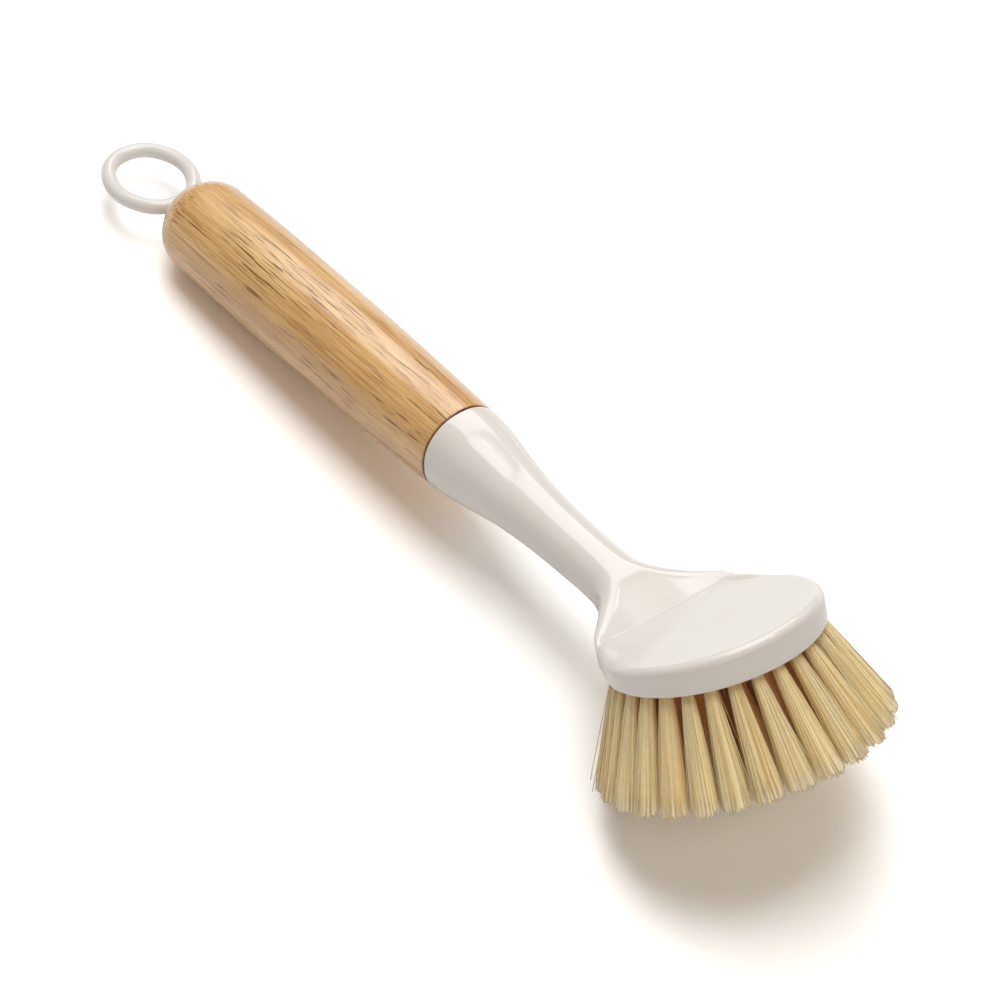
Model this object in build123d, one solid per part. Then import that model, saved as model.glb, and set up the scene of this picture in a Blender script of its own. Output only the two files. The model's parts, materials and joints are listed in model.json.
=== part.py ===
from build123d import *
import math
import os

# Dish brush, in millimetres. A turned bamboo grip carries a moulded hanging loop, whose stem is
# pressed into its butt, and a moulded brush body, whose tang is pressed into its front end.
# The body is one moulding: tang, collar, waisted neck, fan and a round head that is thicker at the
# front. Its underside holds four rings of bristle tufts, each held in its blind hole by a staple.
# The pieces are made about the grip's axis: X runs from the grip's front end to the head, Y is
# across and Z is up. At the end the brush is pitched onto the flat surface that it lies on.

# Grip
GRIP_LENGTH = 119.0
GRIP_FRONT_RADIUS = 11.7
GRIP_BELLY_RADIUS = 13.0
GRIP_BUTT_RADIUS = 12.7
GRIP_DOME_LENGTH = 11.5
GRIP_BELLY_SHARE = 0.62
GRIP_EDGE_ROUND = 0.5

# Pressed joints
TANG_RADIUS = 6.0
TANG_LENGTH = 30.0
TANG_CHAMFER = 0.8
STEM_RADIUS = 3.4
STEM_DEPTH = 18.0
STEM_ROUND = 1.2
FIT = 0.05
BORE_END_GAP = 1.0

# Hanging loop, an oval of round wire section
WIRE_RADIUS = 2.0
EYE_HALF_LENGTH = 12.8
EYE_HALF_WIDTH = 10.1
EYE_END_RADIUS = 8.7
EYE_STANDOFF = 3.2

# Neck
COLLAR_RADIUS = 11.5
WAIST_RADIUS = 6.9
NECK_TAPER = 22.0
NECK_DROP = 0.8
NECK_FLATNESS_SHARE = 0.97
NECK_BEND_SHARE = 1.4
NECK_POWER = 1.85
FAN_DROP = 3.7
FAN_START_SHARE = 0.565
FAN_FALL_START_SHARE = 0.58
FAN_FALL_LENGTH_SHARE = 0.33

# Head
HEAD_RADIUS = 26.6
HEAD_REACH = 98.7
HEAD_RISE = 7.3
HEAD_TILT = 26.0
HEAD_WEDGE = 6.5
HEAD_THICKNESS = 6.9
HEAD_TOP_ROUND = 1.4
HEAD_RIM_ROUND = 0.6
FAN_EDGE_ROUND = 1.6
FAN_STEP = 0.25

# Bristles
TUFT_COUNTS = (27, 15, 10, 4)
TUFT_RING_NAMES = ("outer", "second", "third", "centre")
TUFT_EDGE = 3.6
TUFT_INNER_RADIUS = 4.4
HOLE_RADIUS = 2.0
HOLE_DEPTH = 3.2
STRANDS_AROUND = 8
STRAND_SIDE = 1.0
STRAND_HEIGHT = 26.0
STRAND_UNEVENNESS = 0.9
ROOT_SPREAD = 1.25
TIP_GAP = 0.3
TIP_SPLAY = 10.0
STRAND_OVERLAP = 0.4
TIP_FLAT = 0.5

# Staples
STAPLE_THICKNESS = 0.4
STAPLE_HEIGHT = 1.2
STAPLE_GAP = 0.1

# Steps in which the butt's outline is followed to find where the brush rests, and rounds of that search
BARREL_STEPS = 40
DOME_STEPS = 18
REST_ROUNDS = 12

# Where the body's sections stand, as shares of the reach from the collar to the head's middle
NECK_SECTION_SHARES = (0, 0.05, 0.11, 0.17, 0.24, 0.32, 0.42, 0.52, 0.58)
FAN_SECTION_SHARES = (0.63, 0.67, 0.71, 0.75, 0.79, 0.83, 0.88, 0.935)
FAN_MIDDLE_SHARE = 0.755
FAN_POWER = 2.04
SHOULDER_TUCK = 1.8
TUCK_START_SHARE = 0.73
TUCK_END_SHARE = 0.97
FULL_ROUND_SHARE = 0.985
CUTTER_OVERRUN = 5.0


def polar_turns(count):
    """Directions of evenly spaced places round a ring."""
    return [math.tau * index / count for index in range(count)]


HEAD_CENTRE = Vector(HEAD_REACH, 0, HEAD_RISE)
TILT = math.radians(HEAD_TILT)
HEAD_ALONG = Vector(math.cos(TILT), 0, math.sin(TILT))
HEAD_UP = Vector(-math.sin(TILT), 0, math.cos(TILT))
TOP_TILT = math.radians(HEAD_TILT + HEAD_WEDGE)
TOP_UP = Vector(-math.sin(TOP_TILT), 0, math.cos(TOP_TILT))
TOP_CENTRE = HEAD_CENTRE + HEAD_UP * HEAD_THICKNESS
UNDERSIDE = Plane(origin=HEAD_CENTRE, x_dir=HEAD_ALONG, z_dir=HEAD_UP)
TOP_ALONG = Vector(math.cos(TOP_TILT), 0, math.sin(TOP_TILT))
TOP_FACE = Plane(origin=TOP_CENTRE, x_dir=TOP_ALONG, z_dir=TOP_UP)


def grip_profile():
    """Half outline of the grip: a shallow arc for the barrel, then a quarter ellipse for the dome."""
    dome_start = GRIP_LENGTH - GRIP_DOME_LENGTH
    belly = (-dome_start * GRIP_BELLY_SHARE, GRIP_BELLY_RADIUS)
    barrel = ThreePointArc((0, GRIP_FRONT_RADIUS), belly, (-dome_start, GRIP_BUTT_RADIUS))
    dome = EllipticalCenterArc(
        (-dome_start, 0), GRIP_DOME_LENGTH, GRIP_BUTT_RADIUS, start_angle=90, arc_size=90
    )
    axis_line = Line((-GRIP_LENGTH, 0), (0, 0))
    front_line = Line((0, 0), (0, GRIP_FRONT_RADIUS))
    return barrel, dome, axis_line, front_line


def bamboo_grip():
    grip = revolve(make_face(grip_profile()), Axis.X)
    front_edge = grip.edges().filter_by(GeomType.CIRCLE).sort_by(Axis.X)[-1]
    grip = fillet(front_edge, GRIP_EDGE_ROUND)
    grip -= rod_along_x(TANG_RADIUS + FIT, -(TANG_LENGTH + BORE_END_GAP), CUTTER_OVERRUN)
    stem_end = -(GRIP_LENGTH - STEM_DEPTH - BORE_END_GAP)
    grip -= rod_along_x(STEM_RADIUS + FIT, -(GRIP_LENGTH + CUTTER_OVERRUN), stem_end)
    return grip


def rod_along_x(radius, start, end):
    """Solid cylinder on the grip's axis between two places along it."""
    base = Plane(origin=(start, 0, 0), z_dir=(1, 0, 0))
    return extrude(base * Circle(radius), end - start)


def eye_centre_x():
    return -(GRIP_LENGTH + EYE_STANDOFF + EYE_HALF_LENGTH)


def eye_path():
    """Oval of four tangent arcs: two end arcs of one radius and two side arcs of another."""
    along = EYE_HALF_LENGTH - EYE_END_RADIUS
    across = EYE_HALF_WIDTH - EYE_END_RADIUS
    centre_gap = (along**2 + across**2) / (2 * across)
    side_radius = EYE_END_RADIUS + centre_gap
    turn = math.degrees(math.acos(along / centre_gap))
    middle = eye_centre_x()
    side_centre = side_radius - EYE_HALF_WIDTH
    near = CenterArc((middle + along, 0), EYE_END_RADIUS, -turn, 2 * turn)
    upper = CenterArc((middle, -side_centre), side_radius, turn, 180 - 2 * turn)
    far = CenterArc((middle - along, 0), EYE_END_RADIUS, 180 - turn, 2 * turn)
    lower = CenterArc((middle, side_centre), side_radius, 180 + turn, 180 - 2 * turn)
    return Wire([near, upper, far, lower])


def hanging_loop():
    path = eye_path()
    section = Plane(origin=path @ 0, z_dir=path % 0) * Circle(WIRE_RADIUS)
    ring = sweep(section, path=path)
    stem_start = -(GRIP_LENGTH + EYE_STANDOFF)
    stem = rod_along_x(STEM_RADIUS, stem_start, -(GRIP_LENGTH - STEM_DEPTH))
    stem = fillet(stem.edges().filter_by(GeomType.CIRCLE).sort_by(Axis.X)[0], STEM_ROUND)
    return ring + stem


def fan_rise(x):
    """Share of the way from the waist's width to the head's, at a place between fan start and head."""
    start = HEAD_REACH * FAN_START_SHARE
    along = (x - start) / (HEAD_REACH - start)
    if along <= 0:
        return 0.0
    return 1 / (1 + (FAN_MIDDLE_SHARE * (1 - along) / along) ** FAN_POWER)


def neck_radius(x):
    """Radius of the neck: a bell that falls from the collar's radius to the waist's."""
    return WAIST_RADIUS + (COLLAR_RADIUS - WAIST_RADIUS) * math.exp(-((x / NECK_TAPER) ** NECK_POWER))


def shoulder_tuck(x):
    """How far the fan is drawn in where it meets the round head: a smooth hump between two places."""
    along = (x / HEAD_REACH - TUCK_START_SHARE) / (TUCK_END_SHARE - TUCK_START_SHARE)
    return SHOULDER_TUCK * max(4 * along * (1 - along), 0) ** 2


def half_width(x):
    """Half width of the body: the neck, then the fan out to the head's radius, less its tuck."""
    neck = neck_radius(x)
    return neck + (HEAD_RADIUS - neck) * fan_rise(x) - shoulder_tuck(x)


def plane_height(origin, tilt, x):
    return origin.Z + (x - origin.X) * math.tan(tilt)


def fan_fall(x):
    """Smooth step from 0 at the fan's start to 1 where the body meets the head's flat top."""
    start = HEAD_REACH * FAN_FALL_START_SHARE
    along = min(max((x - start) / (HEAD_REACH * FAN_FALL_LENGTH_SHARE), 0), 1)
    return along * along * (3 - 2 * along)


def neck_middle(x):
    return -NECK_DROP * (1 - math.exp(-((x / (NECK_TAPER * NECK_BEND_SHARE)) ** 2)))


def neck_half_height(x):
    flatness = 1 - (1 - NECK_FLATNESS_SHARE) * min(x / NECK_TAPER, 1)
    return neck_radius(x) * flatness


def top_height(x):
    """Upper line of the body: the neck's back, falling through the fan to the head's flat top."""
    neck = neck_middle(x) + neck_half_height(x) - FAN_DROP * fan_fall(x)
    return max(neck, plane_height(TOP_CENTRE, TOP_TILT, x) - FAN_STEP)


def bottom_height(x):
    """Lower line of the body: the neck's belly, then the head's underside."""
    return max(neck_middle(x) - neck_half_height(x), plane_height(HEAD_CENTRE, TILT, x) + FAN_STEP)


def body_section(x):
    """Rounded rectangle across the body: fully round at the neck, flat with round edges at the fan."""
    upper, lower, half = top_height(x), bottom_height(x), half_width(x)
    full_round = min((upper - lower) / 2, half) * FULL_ROUND_SHARE
    edge_round = full_round + (min(FAN_EDGE_ROUND, full_round) - full_round) * fan_fall(x)
    place = Plane(origin=(x, 0, (upper + lower) / 2), x_dir=(0, 1, 0), z_dir=(1, 0, 0))
    return place * RectangleRounded(2 * half, upper - lower, edge_round)


def head_disc():
    """Round head between the underside and the tilted top face, with its rim edges rounded."""
    blank = extrude(UNDERSIDE * Circle(HEAD_RADIUS), HEAD_THICKNESS + HEAD_RADIUS)
    disc = split(blank, bisect_by=TOP_FACE, keep=Keep.BOTTOM)
    rims = disc.edges().filter_by(lambda edge: edge.is_closed).sort_by(Axis(HEAD_CENTRE, HEAD_UP))
    disc = fillet(rims[-1], HEAD_TOP_ROUND)
    rims = disc.edges().filter_by(lambda edge: edge.is_closed).sort_by(Axis(HEAD_CENTRE, HEAD_UP))
    return fillet(rims[0], HEAD_RIM_ROUND)


def ring_pitch():
    """Step between the tuft rings, spread evenly from the outer ring to the inner one."""
    return (HEAD_RADIUS - TUFT_EDGE - TUFT_INNER_RADIUS) / (len(TUFT_COUNTS) - 1)


def ring_radius(ring):
    return HEAD_RADIUS - TUFT_EDGE - ring * ring_pitch()


def tip_spread():
    """How far a tuft's tips spread, so that it keeps a gap at the tips to the nearest other tuft."""
    pitches = [2 * ring_radius(ring) * math.sin(math.pi / count) for ring, count in enumerate(TUFT_COUNTS)]
    tip_pitch = min(pitches + [ring_pitch()]) * (1 + TIP_SPLAY / (HEAD_RADIUS - TUFT_EDGE))
    return (tip_pitch - STRAND_SIDE * math.sqrt(2) - TIP_GAP) / 2


def tuft_places():
    """Each tuft's ring name, number, root place in the underside and direction round the head."""
    places = []
    for ring, (count, name) in enumerate(zip(TUFT_COUNTS, TUFT_RING_NAMES)):
        for number, turn in enumerate(polar_turns(count), start=1):
            places.append((name, number, ring_radius(ring), turn))
    return places


def tuft_plane(radius, turn):
    """Plane at a tuft's mouth, in the underside, facing out of the head, with X pointing outwards."""
    outward = HEAD_ALONG * math.cos(turn) + Vector(0, math.sin(turn), 0)
    return Plane(origin=HEAD_CENTRE + outward * radius, x_dir=outward, z_dir=-HEAD_UP)


def brush_body():
    shares = NECK_SECTION_SHARES + FAN_SECTION_SHARES
    body = loft([body_section(HEAD_REACH * share) for share in shares])
    body += head_disc()
    tang = rod_along_x(TANG_RADIUS, -TANG_LENGTH, 0)
    tang = chamfer(tang.edges().filter_by(GeomType.CIRCLE).sort_by(Axis.X)[0], TANG_CHAMFER)
    body += tang
    holes = []
    for _, _, radius, turn in tuft_places():
        mouth = tuft_plane(radius, turn)
        start = mouth.offset(-HOLE_DEPTH)
        holes.append(extrude(start * Circle(HOLE_RADIUS), HOLE_DEPTH + CUTTER_OVERRUN))
    return body - holes


def strand_rows():
    """Root and tip offsets of a tuft's strands, one in the middle and the rest round it."""
    rows = [(0.0, 0.0)]
    rows += [(1.0, turn) for turn in polar_turns(STRANDS_AROUND)]
    return rows


def strand_height(tuft_index, strand_index):
    """Uneven strand heights from a fixed sequence, so that the tips look cut by hand."""
    step = (tuft_index * len(strand_rows()) + strand_index) * (math.sqrt(5) - 1) / 2
    return STRAND_HEIGHT + STRAND_UNEVENNESS * (2 * (step % 1) - 1)


def strand(mouth, splay, spread, turn, height):
    """Four-sided strand from inside the tuft's root to its tip, leaning outwards."""
    root = Vector(ROOT_SPREAD * spread * math.cos(turn), ROOT_SPREAD * spread * math.sin(turn), 0)
    lean = height / STRAND_HEIGHT
    reach = tip_spread() * spread
    tip = Vector(
        (splay + reach * math.cos(turn)) * lean + root.X * (1 - lean),
        reach * math.sin(turn) * lean + root.Y * (1 - lean),
        height,
    )
    base = root + (root - tip) * (STRAND_OVERLAP / height)
    square = Rectangle(STRAND_SIDE, STRAND_SIDE)
    return loft([mouth * Pos(*base) * square, mouth * Pos(*tip) * square], ruled=True)


def bristle_tuft(index, radius, turn):
    """A tuft: its folded root, which fills the hole round the staple, and its strands in one fuse."""
    mouth = tuft_plane(radius, turn)
    root = extrude(mouth.offset(-HOLE_DEPTH) * Circle(HOLE_RADIUS - FIT), HOLE_DEPTH)
    slot = Box(
        2 * HOLE_RADIUS,
        STAPLE_THICKNESS + 2 * STAPLE_GAP,
        STAPLE_HEIGHT + STAPLE_GAP,
        align=(Align.CENTER, Align.CENTER, Align.MIN),
    )
    root -= mouth.offset(-HOLE_DEPTH) * slot
    splay = TIP_SPLAY * radius / (HEAD_RADIUS - TUFT_EDGE)
    strands = [
        strand(mouth, splay, spread, around, strand_height(index, number))
        for number, (spread, around) in enumerate(strand_rows())
    ]
    return root.fuse(*strands)


def staple(radius, turn):
    """Flat anchor across the bottom of a tuft's hole."""
    length = 2 * (HOLE_RADIUS - FIT)
    blank = Box(length, STAPLE_THICKNESS, STAPLE_HEIGHT, align=(Align.CENTER, Align.CENTER, Align.MIN))
    return tuft_plane(radius, turn).offset(-HOLE_DEPTH) * blank


def lowest(points, pitch):
    return min(points, key=lambda point: point[1] * math.cos(pitch) + point[0] * math.sin(pitch))


def rest_pitch(tip_points):
    """Angle by which the brush tips forward until its butt and its lowest bristles both touch down."""
    dome_start = GRIP_LENGTH - GRIP_DOME_LENGTH
    barrel = grip_profile()[0]
    barrel_points = [barrel @ (step / BARREL_STEPS) for step in range(BARREL_STEPS + 1)]
    butt_points = [(point.X, -point.Y) for point in barrel_points]
    for step in range(DOME_STEPS + 1):
        angle = math.pi / 2 * step / DOME_STEPS
        butt_points.append(
            (-dome_start - GRIP_DOME_LENGTH * math.sin(angle), -GRIP_BUTT_RADIUS * math.cos(angle))
        )
    pitch = 0.0
    for _ in range(REST_ROUNDS):
        butt = lowest(butt_points, pitch)
        tip = lowest(tip_points, pitch)
        run, fall = tip[0] - butt[0], butt[1] - tip[1] - TIP_FLAT
        pitch = math.atan2(fall, run)
    return pitch


def brush():
    """All pieces by name, on the surface that the brush lies on, with the origin under the middle."""
    pieces = {
        "bamboo_grip": bamboo_grip(),
        "hanging_loop": hanging_loop(),
        "brush_body": brush_body(),
    }
    tufts = {}
    for index, (name, number, radius, turn) in enumerate(tuft_places()):
        tufts[f"{name}_tuft_{number:02d}"] = bristle_tuft(index, radius, turn)
    staples = Compound(children=[staple(radius, turn) for _, _, radius, turn in tuft_places()])
    tips = [(v.X, v.Z) for tuft in tufts.values() for v in tuft.vertices()]
    pitch = rest_pitch(tips)
    pieces.update(tufts)
    pieces["staples"] = staples
    turned = {name: piece.rotate(Axis.Y, -math.degrees(pitch)) for name, piece in pieces.items()}
    boxes = {name: piece.bounding_box() for name, piece in turned.items()}
    floor = min(boxes[name].min.Z for name in tufts) + TIP_FLAT
    middle = (min(box.min.X for box in boxes.values()) + max(box.max.X for box in boxes.values())) / 2
    print("pitch", round(math.degrees(pitch), 4), "lift", round(-floor, 4), "shift", round(-middle, 4))
    placed = {}
    for name, piece in turned.items():
        piece = piece.translate((-middle, 0, -floor))
        if name in tufts and boxes[name].min.Z < floor:
            piece = split(piece, bisect_by=Plane.XY, keep=Keep.TOP)
        placed[name] = piece
    return placed


os.makedirs("parts", exist_ok=True)
for node, shape in brush().items():
    export_step(shape, f"parts/{node}.step")
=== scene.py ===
import json
import math

import bmesh
import bpy
import numpy as np
from mathutils import Matrix, Vector


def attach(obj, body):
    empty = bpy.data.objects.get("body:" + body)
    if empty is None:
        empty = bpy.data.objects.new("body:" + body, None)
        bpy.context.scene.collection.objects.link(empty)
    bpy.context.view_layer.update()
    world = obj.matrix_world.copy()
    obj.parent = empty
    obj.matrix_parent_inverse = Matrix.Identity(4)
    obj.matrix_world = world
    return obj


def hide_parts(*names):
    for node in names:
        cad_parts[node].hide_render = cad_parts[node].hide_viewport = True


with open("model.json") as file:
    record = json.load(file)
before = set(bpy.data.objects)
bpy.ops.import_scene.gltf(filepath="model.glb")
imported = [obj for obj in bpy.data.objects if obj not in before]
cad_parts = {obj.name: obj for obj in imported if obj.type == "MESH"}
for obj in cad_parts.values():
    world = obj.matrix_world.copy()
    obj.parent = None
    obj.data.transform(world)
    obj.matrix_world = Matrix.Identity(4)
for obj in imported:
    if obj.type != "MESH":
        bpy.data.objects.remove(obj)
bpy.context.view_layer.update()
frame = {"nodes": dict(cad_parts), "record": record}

# Dish brush. Shapes are worked out in millimetres about the grip's axis: X runs from the grip's
# front end to the head, Y is across and Z is up. place() then pitches them onto the surface.
MM = 0.001

# Points closer than the first merge, and edges shorter than the second collapse, in metres
WELD_DISTANCE = 1e-7
COLLAPSE_DISTANCE = 1e-8

# Grip
GRIP_LENGTH = 119.0
GRIP_FRONT_RADIUS = 11.7
GRIP_BELLY_RADIUS = 13.0
GRIP_BUTT_RADIUS = 12.7
GRIP_DOME_LENGTH = 11.5
GRIP_BELLY_SHARE = 0.62
GRIP_EDGE_ROUND = 0.5
GRIP_AROUND = 192
BARREL_POINTS = 90
DOME_POINTS = 60
EDGE_POINTS = 8
DOME_FULLNESS = 2.15
DOME_MARGIN = 0.3
TANG_RADIUS = 6.0
TANG_LENGTH = 30.0
TANG_CHAMFER = 0.8
STEM_RADIUS = 3.4
STEM_DEPTH = 18.0
FIT = 0.05
BORE_END_GAP = 1.0
BORE_MOUTH = 0.3
BUTT_MOUTH_STEP = 0.25
BUTT_MOUTH_DEPTH = 0.6
BUTT_MOUTH_ROOM = 0.2

# Hanging loop
WIRE_RADIUS = 2.0
EYE_HALF_LENGTH = 12.8
EYE_HALF_WIDTH = 10.1
EYE_END_RADIUS = 8.7
EYE_STANDOFF = 3.2
ROUTE_POINTS = 220
WIRE_AROUND = 40
STEM_RINGS = 14
STEM_FLARE = 3.0
STEM_FLARE_POWER = 2.2
FOOT_HALF_HEIGHT = 1.5
FOOT_END_HALF_HEIGHT = 1.2
FOOT_RISE_SPEED = 1.15
FOOT_RISE_POWER = 1.2
FOOT_SINK = 0.6
BUTT_GAP = 0.2
STEM_END_ROUND = 0.8

# Neck and fan
COLLAR_RADIUS = 11.5
COLLAR_EDGE = 0.35
WAIST_RADIUS = 6.9
NECK_TAPER = 22.0
NECK_DROP = 0.8
NECK_FLATNESS_SHARE = 0.97
NECK_BEND_SHARE = 1.4
NECK_POWER = 1.85
FAN_SLOPE = 0.225
FAN_SLOPE_START = 66.0
FAN_SLOPE_SOFTNESS = 2.5
FAN_START_SHARE = 0.5987
EDGE_START_SHARE = 0.54
EDGE_LENGTH_SHARE = 0.28
DISH_SHARE = 0.5
DISH_POWER = 6
SHOULDER_RISE = 1.93
RISE_START_SHARE = 0.72
RISE_END_SHARE = 0.916
FAN_MIDDLE_SHARE = 0.76
FAN_POWER = 1.854
SHOULDER_TUCK = 1.18
TUCK_START_SHARE = 0.786
TUCK_END_SHARE = 0.97
BELLY_FADE_START = 66.0
BELLY_FADE_LENGTH = 12.0
LEAN_START = 58.0
LEAN_LENGTH = 22.0
TURN_OUT_START = 56.0
TURN_OUT_LENGTH = 16.0
JOIN_START = 84.0
HEIGHT_STEPS = 30

# The outline's stations along the body: where their spacing changes, and the spacings
STATION_LIMITS = (56.0, 72.0, 84.0)
STATION_STEPS = (0.9, 0.5, 0.3, 0.5)
SLOPE_STEP = 0.02
SQUARE_LENGTH = 1.0
COLLAR_POINTS = 6
RING_POINTS = 90
SMALLEST_SHARE = 1e-6
FLAT_POINTS = 18
CORNER_POINTS = 14
WALL_POINTS = 8

# Head
HEAD_RADIUS = 26.6
HEAD_REACH = 98.7
HEAD_RISE = 7.3
HEAD_TILT = math.radians(26.0)
HEAD_WEDGE = math.radians(4.6)
WALL_TILT = math.radians(15.6)
HEAD_THICKNESS = 6.6
TOP_ROUND = 2.6
RIM_ROUND = 0.6
ROUND_FILL_SHARE = 0.94
CREASE_SOFTNESS = 0.12
BELLY_SOFTNESS = 3.0
JOIN_SOFTNESS = 0.5

# Bristles
TUFT_COUNTS = (27, 15, 10, 4)
TUFT_RING_NAMES = ("outer", "second", "third", "centre")
TUFT_EDGE = 3.6
TUFT_RING_PITCH = 6.2
HOLE_RADIUS = 2.0
FIBRE_HEIGHT = 26.0
TIP_SPLAY = 10.0
TIP_SPREADS = (3.7, 5.5, 4.6, 4.4)
FIBRES_OUTSIDE = 190
FIBRES_INSIDE = 110
FIBRE_ROOT_WIDTH = 0.30
FIBRE_TIP_WIDTH = 0.24
FIBRE_RINGS = 6
FIBRE_SIDES = 3
FIBRE_SINK = 1.5
TIP_UNEVENNESS = 0.75
TIP_CROWN = 0.12
TIP_DRIFT = 0.22
STRAY_SHARE = 0.025
STRAY_DRIFT = 6
FIBRE_BOW = 0.15
FIBRE_THICKNESS = (0.8, 1.2)
FIBRE_MARGIN = 0.7
SIDE_REFERENCE = (0.31, 0.87, 0.21)
SHADE_MARGIN = 0.2
SHADE_MIDDLE = 0.35
SHADE_SLOPE = 0.65
CORE_SHARE = 0.93
CORE_MARGIN = 0.6
CORE_END_SPREAD = (-0.7, 0.5)
CORE_END_DISH = 0.2
FLUTE_DEPTH = 0.04
CORE_HEIGHT = 25.9
CORE_LAST_SHARE = 0.985
CORE_COLUMNS = 84
CORE_RINGS = 9

rng = np.random.default_rng(41)

# Where the design frame lies in the part, from the hanging eye's mount
EYE_MOUNT = next(mount for mount in frame["record"]["mounts"] if mount["name"] == "hanging_eye")
PITCH = math.atan2(-EYE_MOUNT["axis"][0], EYE_MOUNT["axis"][2])
EYE_X = -(GRIP_LENGTH + EYE_STANDOFF + EYE_HALF_LENGTH)


def place(points):
    """Turns design points in millimetres by the pitch and puts the eye's centre on its mount."""
    points = np.asarray(points, float)
    x, y, z = points[..., 0] - EYE_X, points[..., 1], points[..., 2]
    along = x * math.cos(PITCH) - z * math.sin(PITCH)
    up = x * math.sin(PITCH) + z * math.cos(PITCH)
    return np.stack([along, y, up], -1) * MM + np.array(EYE_MOUNT["pos_m"])


def smooth_step(share):
    """0 below 0, 1 above 1, and between them the cubic that leaves and arrives level."""
    share = np.clip(share, 0, 1)
    return share * share * (3 - 2 * share)


def soft_max(a, b, softness):
    """The larger of two values, with the corner between them rounded by a hyperbola."""
    return (a + b + np.sqrt((a - b) ** 2 + softness**2)) / 2


def srgb(red, green, blue):
    """Linear colour of a screen colour given in steps of 255."""
    share = np.array([red, green, blue]) / 255
    linear = np.where(share <= 0.04045, share / 12.92, ((share + 0.055) / 1.055) ** 2.4)
    return (*linear, 1.0)


def ring_quads(rows, around):
    """Corner numbers of the quads between neighbouring points of a grid that closes round each row."""
    row, column = np.meshgrid(np.arange(rows - 1), np.arange(around), indexing="ij")
    after = (column + 1) % around
    corners = [row * around + column, row * around + after, (row + 1) * around + after,
               (row + 1) * around + column]
    return np.stack(corners, -1).reshape(-1, 4)


def grid_piece(name, rows, material):
    """Smooth mesh of quads between a grid's neighbouring points; equal points are merged into poles."""
    faces = ring_quads(*rows.shape[:2])
    return mesh_piece(name, place(rows.reshape(-1, 3)), [faces], material, merge=True)


def mesh_piece(name, points, face_groups, material, merge=False):
    """Smooth mesh object at the origin, from points in metres and groups of faces of one size each.

    merge welds points that coincide, as at poles and seams.
    """
    mesh = bpy.data.meshes.new(name)
    loops = np.concatenate([faces.ravel() for faces in face_groups]).astype(np.int32)
    totals = np.concatenate([np.full(len(faces), faces.shape[1]) for faces in face_groups]).astype(np.int32)
    starts = np.concatenate([[0], np.cumsum(totals)[:-1]]).astype(np.int32)
    mesh.vertices.add(len(points))
    mesh.vertices.foreach_set("co", np.asarray(points, np.float32).ravel())
    mesh.loops.add(len(loops))
    mesh.loops.foreach_set("vertex_index", loops)
    mesh.polygons.add(len(totals))
    mesh.polygons.foreach_set("loop_start", starts)
    mesh.polygons.foreach_set("loop_total", totals)
    mesh.update(calc_edges=True)
    if merge:
        mesh.validate()
        weld(mesh)
    mesh.shade_smooth()
    mesh.materials.append(material)
    piece = bpy.data.objects.new(name, mesh)
    bpy.context.scene.collection.objects.link(piece)
    return piece


def weld(mesh):
    """Merges points that coincide, drops faces that collapsed and turns all faces outwards."""
    work = bmesh.new()
    work.from_mesh(mesh)
    bmesh.ops.remove_doubles(work, verts=work.verts, dist=WELD_DISTANCE)
    bmesh.ops.dissolve_degenerate(work, edges=work.edges, dist=COLLAPSE_DISTANCE)
    bmesh.ops.recalc_face_normals(work, faces=work.faces)
    work.to_mesh(mesh)
    work.free()


# Body


def neck_radius(x):
    """Radius of the neck, which falls from the collar's to the waist's.

    The fall is a bell: the exponential of minus a power of the distance.
    """
    bell = np.exp(-((np.maximum(x, 0) / NECK_TAPER) ** NECK_POWER))
    return WAIST_RADIUS + (COLLAR_RADIUS - WAIST_RADIUS) * bell


def fan_rise(x):
    """Share of the way from the neck's width to the head's, at a place along the fan.

    It is an S-curve: one over one plus a power of the rest of the way over the way gone.
    """
    start = HEAD_REACH * FAN_START_SHARE
    along = np.clip((x - start) / (HEAD_REACH - start), SMALLEST_SHARE, 1)
    return 1 / (1 + (FAN_MIDDLE_SHARE * (1 - along) / along) ** FAN_POWER)


def hump(x, start_share, end_share):
    """Smooth hump of height 1 between two shares of the reach: a parabola squared."""
    along = (x / HEAD_REACH - start_share) / (end_share - start_share)
    return np.maximum(4 * along * (1 - along), 0) ** 2


def shoulder_tuck(x):
    """How far the fan's sides draw in just before the head: a squared parabola between two stations."""
    return SHOULDER_TUCK * hump(x, TUCK_START_SHARE, TUCK_END_SHARE)


def half_width(x):
    """Half width of neck and fan, joined softly to the round head's chord where that is wider.

    The chord is the circle's: the root of the radius squared less the distance squared.
    """
    neck = neck_radius(x)
    fan = neck + (HEAD_RADIUS - neck) * fan_rise(x) - shoulder_tuck(x)
    along = np.clip((x - HEAD_REACH) / math.cos(HEAD_TILT), -HEAD_RADIUS, HEAD_RADIUS)
    chord = np.sqrt(np.maximum(HEAD_RADIUS**2 - along**2, 0))
    softness = JOIN_SOFTNESS * (1 - smooth_step((x - JOIN_START) / (HEAD_REACH - JOIN_START)))
    inside = x > HEAD_REACH - HEAD_RADIUS * math.cos(HEAD_TILT)
    return np.where(inside, soft_max(fan, chord, softness), fan) - collar_edge(x)


def collar_edge(x):
    """How far the small rounded edge at the collar's end, a quarter circle, draws its radius in."""
    rest = np.clip(COLLAR_EDGE - x, 0, COLLAR_EDGE)
    return COLLAR_EDGE - np.sqrt(COLLAR_EDGE**2 - rest**2)


def fan_fall(x):
    """How far the fan's back falls: nothing at the neck, then a straight ramp down to the crease."""
    return FAN_SLOPE * soft_max(x - FAN_SLOPE_START, 0, FAN_SLOPE_SOFTNESS)


def edge_sharpness(x):
    """Smooth step from the neck's full round section, 0, to the fan's flat one with small fillets, 1."""
    sharpness = smooth_step((x / HEAD_REACH - EDGE_START_SHARE) / EDGE_LENGTH_SHARE)
    return np.where(x > HEAD_REACH, 1, sharpness)


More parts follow.
